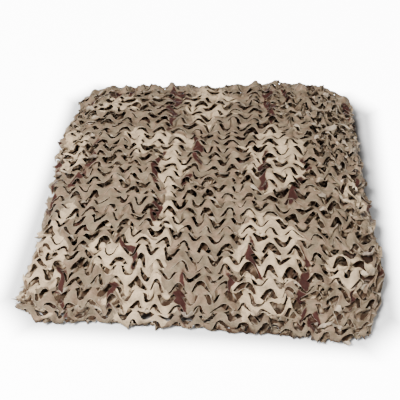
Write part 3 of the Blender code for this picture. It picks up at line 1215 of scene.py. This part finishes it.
@dataclass(frozen=True)
class NetCloth:
    """The finish of the net's cloth: a printed, matt, closely woven polyester.

    `fade` is how far the print is lost, as on the cloth's paler back. Inside the bundle
    the cloth is painted toward `unlit`, a painted shade. An `_edge` is how far, in metres,
    the noise of the print's edges moves an edge, and how much is added to the patch.
    """

    name: str
    sand: Colour = from_display(172, 150, 121)
    khaki: Colour = from_display(112, 98, 79)
    rose: Colour = from_display(118, 98, 79)
    brown: Colour = from_display(54, 28, 23)
    # Pale raw cut edges, partly a painted highlight; the paler back fades toward it too.
    raw_edge_and_highlight: Colour = from_display(214, 198, 176)
    # Painted shade: the colour that the plies under the top one take inside the bundle.
    unlit: Colour = from_display(44, 26, 13)
    fade: float = 0.0
    unlit_share: float = 0.95
    raw_edge_and_highlight_share: float = 0.28
    print_edge: Noise = Noise(1.0, 60.0, 3.0, 0.6)
    edge_softness: float = 0.0012
    sand_edge: Span = (0.030, -0.003)
    brown_edge: Span = (0.006, 0.001)
    blush: Noise = Noise(1.0, 48.0)
    blush_range: Span = (-0.08, 0.10)
    fading: Noise = Noise(1.0, 28.0, 1.0)
    fading_range: Span = (-0.06, 0.06)
    faded_brown: float = 0.5
    mottle: Noise = Noise(1.90, 40.0, 3.0, 0.65)
    fleck: Noise = Noise(0.60, 260.0)
    roughness: float = 0.82
    grain: Noise = Noise(0.16, 700.0, 1.0)
    specular: float = 0.15
    thread: float = 0.0009
    thread_height: float = 0.00004
    crumple: Noise = Noise(0.0024, 95.0)
    crease: Noise = Noise(0.0007, 230.0, 1.0)
    relief_strength: float = 0.6

    def make(self) -> Material:
        """Builds the material: print, fading, cut edges with a painted highlight, painted shade
        inside, mottling and relief.

        Returns:
            The material.
        """
        graph = Graph(bpy.data.materials.new(self.name))
        cloth = graph.node("ShaderNodeUVMap", {}, uv_map="cloth").outputs[0]
        soft = self.edge_softness
        wobble = graph.noise(cloth, self.print_edge)
        sand = graph.attribute("sand") + wobble * self.sand_edge[0] + self.sand_edge[1]
        brown = graph.attribute("brown") + wobble * self.brown_edge[0] + self.brown_edge[1]
        brown = brown.smooth_step(-soft, soft) * (1.0 - self.fade * self.faded_brown)
        blush = graph.noise(cloth, self.blush).smooth_step(*self.blush_range)
        pale = graph.noise(cloth, self.fading).smooth_step(*self.fading_range) * self.fade
        # Cut edges painted pale: raw edges, and partly a painted highlight.
        edge_highlight_mix = graph.attribute("raw_edge_and_highlight") * self.raw_edge_and_highlight_share
        # Painted shade inside the bundle, on the plies under the top one.
        painted_inside_shade = graph.attribute("inside_shade") * self.unlit_share
        colour = graph.mix(blush, self.khaki, self.rose)
        for share, over in ((sand.smooth_step(-soft, soft), self.sand), (brown, self.brown),
                            (pale, self.raw_edge_and_highlight), (edge_highlight_mix, self.raw_edge_and_highlight), (painted_inside_shade, self.unlit)):
            colour = graph.mix(share, colour, over)
        tone = graph.noise(cloth, self.mottle) + graph.noise(cloth, self.fleck) + 1.0
        shaded = graph.node("ShaderNodeHueSaturation", {"Value": tone, "Color": colour})
        rough = graph.noise(cloth, self.grain) + self.roughness
        graph.shade(Base_Color=shaded.outputs[0], Roughness=rough,
                    Specular_IOR_Level=self.specular, Normal=self.relief(graph, cloth))
        return graph.owner

    def relief(self, graph: Graph, cloth: Any) -> Any:
        """The weave, as crossed fine ribs, over soft crumples and finer creases.

        Args:
            graph: the material's graph.
            cloth: the place on the cloth, in metres.

        Returns:
            The bumped normal.
        """
        turns = 2 * math.pi / self.thread
        split = graph.node("ShaderNodeSeparateXYZ", {0: cloth}).outputs
        warp, weft = ((Level(graph, split[side]) * turns).sine() for side in (0, 1))
        height = warp * weft * self.thread_height + graph.noise(cloth, self.crumple)
        height = height + graph.noise(cloth, self.crease)
        inputs = {"Strength": self.relief_strength, "Distance": 1.0, "Height": height}
        return graph.node("ShaderNodeBump", inputs).outputs[0]


@dataclass(frozen=True)
class FloorFinish:
    """The finish of the plain pale floor, painted dark under the net as a shadow, and glowing round
    it.

    Both go by a rounded square distance from the net's middle: the greatest of |X|, |Y|
    and `corner` times their sum, in metres.
    """

    colour: Colour = (0.90, 0.90, 0.90, 1.0)
    # Painted shadow: the floor's colour under the net, out to shaded_range.
    shaded: Colour = (0.06, 0.04, 0.03, 1.0)
    roughness: float = 0.9
    glow: float = 12.0
    corner: float = 0.545
    shaded_range: Span = (0.350, 0.384)
    # The glow fades in over this range, which paints a soft shadow round the net.
    glow_range: Span = (0.385, 0.440)

    def make(self) -> Material:
        """Builds the floor's material, whose two rings step smoothly with the distance.

        Returns:
            The material.
        """
        graph = Graph(bpy.data.materials.new("pale_floor"))
        place = graph.node("ShaderNodeTexCoord", {}).outputs["Object"]
        away = graph.node("ShaderNodeVectorMath", {0: place}, operation="ABSOLUTE").outputs[0]
        sides = graph.node("ShaderNodeSeparateXYZ", {0: away}).outputs
        across, deep = Level(graph, sides[0]), Level(graph, sides[1])
        out = across.larger(deep).larger((across + deep) * self.corner)
        graph.shade(Base_Color=graph.mix(out.smooth_step(*self.shaded_range), self.shaded,
                                         self.colour),
                    Emission_Color=graph.mix(out.smooth_step(*self.glow_range), BLACK,
                                             self.colour),
                    Emission_Strength=self.glow, Roughness=self.roughness)
        return graph.owner


# ---- the pieces
@dataclass
class CamouflageNet:
    """The folded net: eight thin pieces of one cloth, from the top ply down.

    The top ply has more rows of vertices in a band than the others. Cloth under the top
    ply is painted with shade inside the bundle, except along its hem and in random small
    patches of painted light (`painted_light_patches`).
    """

    cloth: LeafCloth = LeafCloth()
    dye: DesertPrint = DesertPrint()
    close_rows: Span = (0.0, 0.07, 0.36, 0.64, 0.93, 1.0)
    plain_rows: Span = (0.0, 0.30, 0.70, 1.0)
    finish: NetCloth = NetCloth("printed_net_cloth")
    backing: NetCloth = NetCloth("net_cloth_back", fade=0.30)
    inner: NetCloth = NetCloth("inner_net_cloth")
    # Painted shade inside the bundle: how it rises in from the hem, and random patches of painted
    # light that lift it.
    inside_shade_rise: Span = (-0.006, 0.024)
    painted_light_patches: Ripple = Ripple(14, 0.009, 0.024)
    painted_light_rise: Span = (0.5, 0.3)
    painted_light_share: float = 0.80
    sharp_from: float = math.radians(55)

    def splits(self) -> list[int]:
        """Finds where one piece ends and the next begins: at the line nearest to a fold.

        Returns:
            The first band of each piece, and the band after the last one.
        """
        way, lines = self.cloth.way, self.cloth.lines
        splits, start = [0], 0.0
        for leg in way.legs():
            start += leg.length
            if leg.kind in (Stretch.FOLD, Stretch.FOOT_FOLD):
                splits.append(round((start - lines.first) / (lines.pitch / 2)) + 1)
        return splits + [self.cloth.line_count() + 1]

    def build(self) -> None:
        """Builds and dresses every ply, attaches it to the root body and hides the imported net."""
        outer, inner = [self.finish.make(), self.backing.make()], [self.inner.make()] * 2
        splits = self.splits()
        for number, (first, last) in enumerate(zip(splits, splits[1:])):
            level = self.cloth.way.top - number
            rows, finishes = (self.plain_rows, inner) if number else (self.close_rows, outer)
            grid = self.cloth.grid(first, last, rows)
            piece = self.make_piece(f"net_ply_{level + 1}", grid, finishes)
            self.declare(piece)
            LOG.info("%s: bands %d to %d, %d triangles", piece.name, first, last,
                     sum(len(face.vertices) - 2 for face in piece.data.polygons))

    def marks(self, grid: ClothGrid) -> dict[str, Array]:
        """Works out what the finish reads at each vertex of a piece.

        Args:
            grid: the piece's cloth.

        Returns:
            The numbers, by name.
        """
        way = self.cloth.way
        sand, brown = self.dye.fields(grid.aside, grid.along)
        # Painted shade on the plies under the top one, rising in from the hem and lifted in patches
        # of painted light.
        inside_shade = ramp(way.half_width - np.abs(grid.aside), *self.inside_shade_rise)
        painted_light_patches = ramp(self.painted_light_patches.read(grid.aside, grid.along), *self.painted_light_rise)
        inside_shade = inside_shade * (1 - self.painted_light_share * painted_light_patches) * ~way.on_top(grid.along)
        return {"sand": sand, "brown": brown, "raw_edge_and_highlight": grid.raw_edge_and_highlight, "inside_shade": inside_shade}

    def make_piece(self, name: str, grid: ClothGrid, finishes: list[Material]) -> Thing:
        """Makes the mesh of one ply from its grid and gives it its thickness.

        Args:
            name: the piece's name.
            grid: the piece's cloth.
            finishes: the materials of its printed side and of its back.

        Returns:
            The piece.
        """
        index = grid.index
        corners = [index[:, :-1, :-1], index[:, 1:, :-1], index[:, 1:, 1:], index[:, :-1, 1:]]
        quads = np.stack(corners, axis=-1).reshape(-1, 4)
        used, quads = np.unique(quads, return_inverse=True)
        quads = quads.reshape(-1, 4)
        mesh = bpy.data.meshes.new(name)
        mesh.from_pydata(grid.points.reshape(-1, 3)[used], [], quads)
        for label, values in self.marks(grid).items():
            store = mesh.attributes.new(label, "FLOAT", "POINT")
            store.data.foreach_set("value", values.reshape(-1)[used].astype(np.float32))
        flat = np.stack([grid.aside, grid.along], axis=-1).reshape(-1, 2)[used]
        layer = mesh.uv_layers.new(name="cloth")
        layer.data.foreach_set("uv", flat[quads.reshape(-1)].astype(np.float32).reshape(-1))
        for finish in finishes:
            mesh.materials.append(finish)
        piece = bpy.data.objects.new(name, mesh)
        bpy.context.scene.collection.objects.link(piece)
        wall = piece.modifiers.new("cloth thickness", "SOLIDIFY")
        wall.thickness, wall.offset, wall.material_offset = self.cloth.thickness, 0.0, 1
        self.settle(piece)
        return piece

    def settle(self, piece: Thing) -> None:
        """Applies the piece's thickness and shades it smooth, with its cut edges sharp.

        Args:
            piece: the piece.
        """
        ready = piece.evaluated_get(bpy.context.evaluated_depsgraph_get())
        mesh = bpy.data.meshes.new_from_object(ready)
        mesh.name = piece.name
        piece.modifiers.clear()
        piece.data = mesh
        mesh.shade_smooth()
        mesh.set_sharp_from_angle(angle=self.sharp_from)

    def declare(self, piece: Thing) -> None:
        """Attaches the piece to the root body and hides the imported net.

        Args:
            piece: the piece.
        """
        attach(piece, "root")
        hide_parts("net")


# ---- studio
class Lamp(NamedTuple):
    """A square soft light that faces the net, in metres and watts."""

    name: str
    place: tuple[float, float, float]
    size: float
    power: float


@dataclass(frozen=True)
class Studio:
    """The floor, the soft lights and the camera.

    The white world lights the net dimly, and a brighter one is seen behind the floor.
    """

    azimuth: float = math.radians(6.0)
    elevation: float = math.radians(45.0)
    distance: float = 1.58
    roll: float = math.radians(-1.5)
    aim: tuple[float, float, float] = (-0.0152, -0.0774, 0.060)
    lens: float = 64.0
    sensor: float = 36.0
    floor_width: float = 28.0
    world_strength: float = 0.16
    backdrop_strength: float = 8.96
    finish: FloorFinish = FloorFinish()
    lamps: tuple[Lamp, ...] = (
        Lamp("key", (-0.9, -1.2, 2.2), 0.8, 185.0),
        Lamp("fill", (1.6, -1.4, 1.7), 1.6, 25.0),
    )

    def build(self) -> None:
        """Builds the floor, the lights and the camera."""
        self.add_floor()
        self.add_world()
        for lamp in self.lamps:
            data = bpy.data.lights.new(lamp.name, "AREA")
            data.size, data.energy = lamp.size, lamp.power
            self.add(data, np.array(lamp.place), 0.0)
        data = bpy.data.cameras.new("camera")
        data.lens, data.sensor_width = self.lens, self.sensor
        level = math.cos(self.elevation) * self.distance
        offset = np.array([math.sin(self.azimuth) * level, -math.cos(self.azimuth) * level,
                           math.sin(self.elevation) * self.distance])
        bpy.context.scene.camera = self.add(data, np.array(self.aim) + offset, self.roll)

    def add_floor(self) -> None:
        """Adds a wide flat floor under the net, whose glow doesn't light the net."""
        bpy.ops.mesh.primitive_plane_add(size=self.floor_width)
        floor = bpy.context.object
        floor.name = "floor"
        floor.data.materials.append(self.finish.make())
        floor.visible_diffuse = False

    def add_world(self) -> None:
        """Adds the white world: one strength as a light, and another to the camera."""
        graph = Graph(bpy.data.worlds.new("studio"))
        skies = [graph.node("ShaderNodeBackground", {"Color": WHITE, "Strength": strength})
                 for strength in (self.world_strength, self.backdrop_strength)]
        seen = graph.node("ShaderNodeLightPath", {}).outputs["Is Camera Ray"]
        choice = graph.node("ShaderNodeMixShader", {0: seen, 1: skies[0].outputs[0],
                                                    2: skies[1].outputs[0]})
        graph.put(graph.tree.nodes["World Output"].inputs["Surface"], choice.outputs[0])
        bpy.context.scene.world = graph.owner

    def add(self, data: Any, place: Array, roll: float) -> Thing:
        """Adds a lamp or camera whose -Z looks at the aim, and whose Y is up before it rolls.

        Args:
            data: the lamp's or camera's data.
            place: where it stands.
            roll: its roll in radians.

        Returns:
            The object.
        """
        thing = bpy.data.objects.new(data.name, data)
        turn = mathutils.Vector(np.array(self.aim) - place).to_track_quat("-Z", "Y")
        turn = turn.to_matrix().to_4x4() @ mathutils.Matrix.Rotation(roll, 4, "Z")
        thing.matrix_world = mathutils.Matrix.Translation(place) @ turn
        bpy.context.scene.collection.objects.link(thing)
        return thing


def main() -> None:
    """Builds the studio and the net."""
    logging.basicConfig(level=logging.INFO, format="%(message)s")
    Studio().build()
    CamouflageNet().build()


if __name__ == "__main__":
    main()
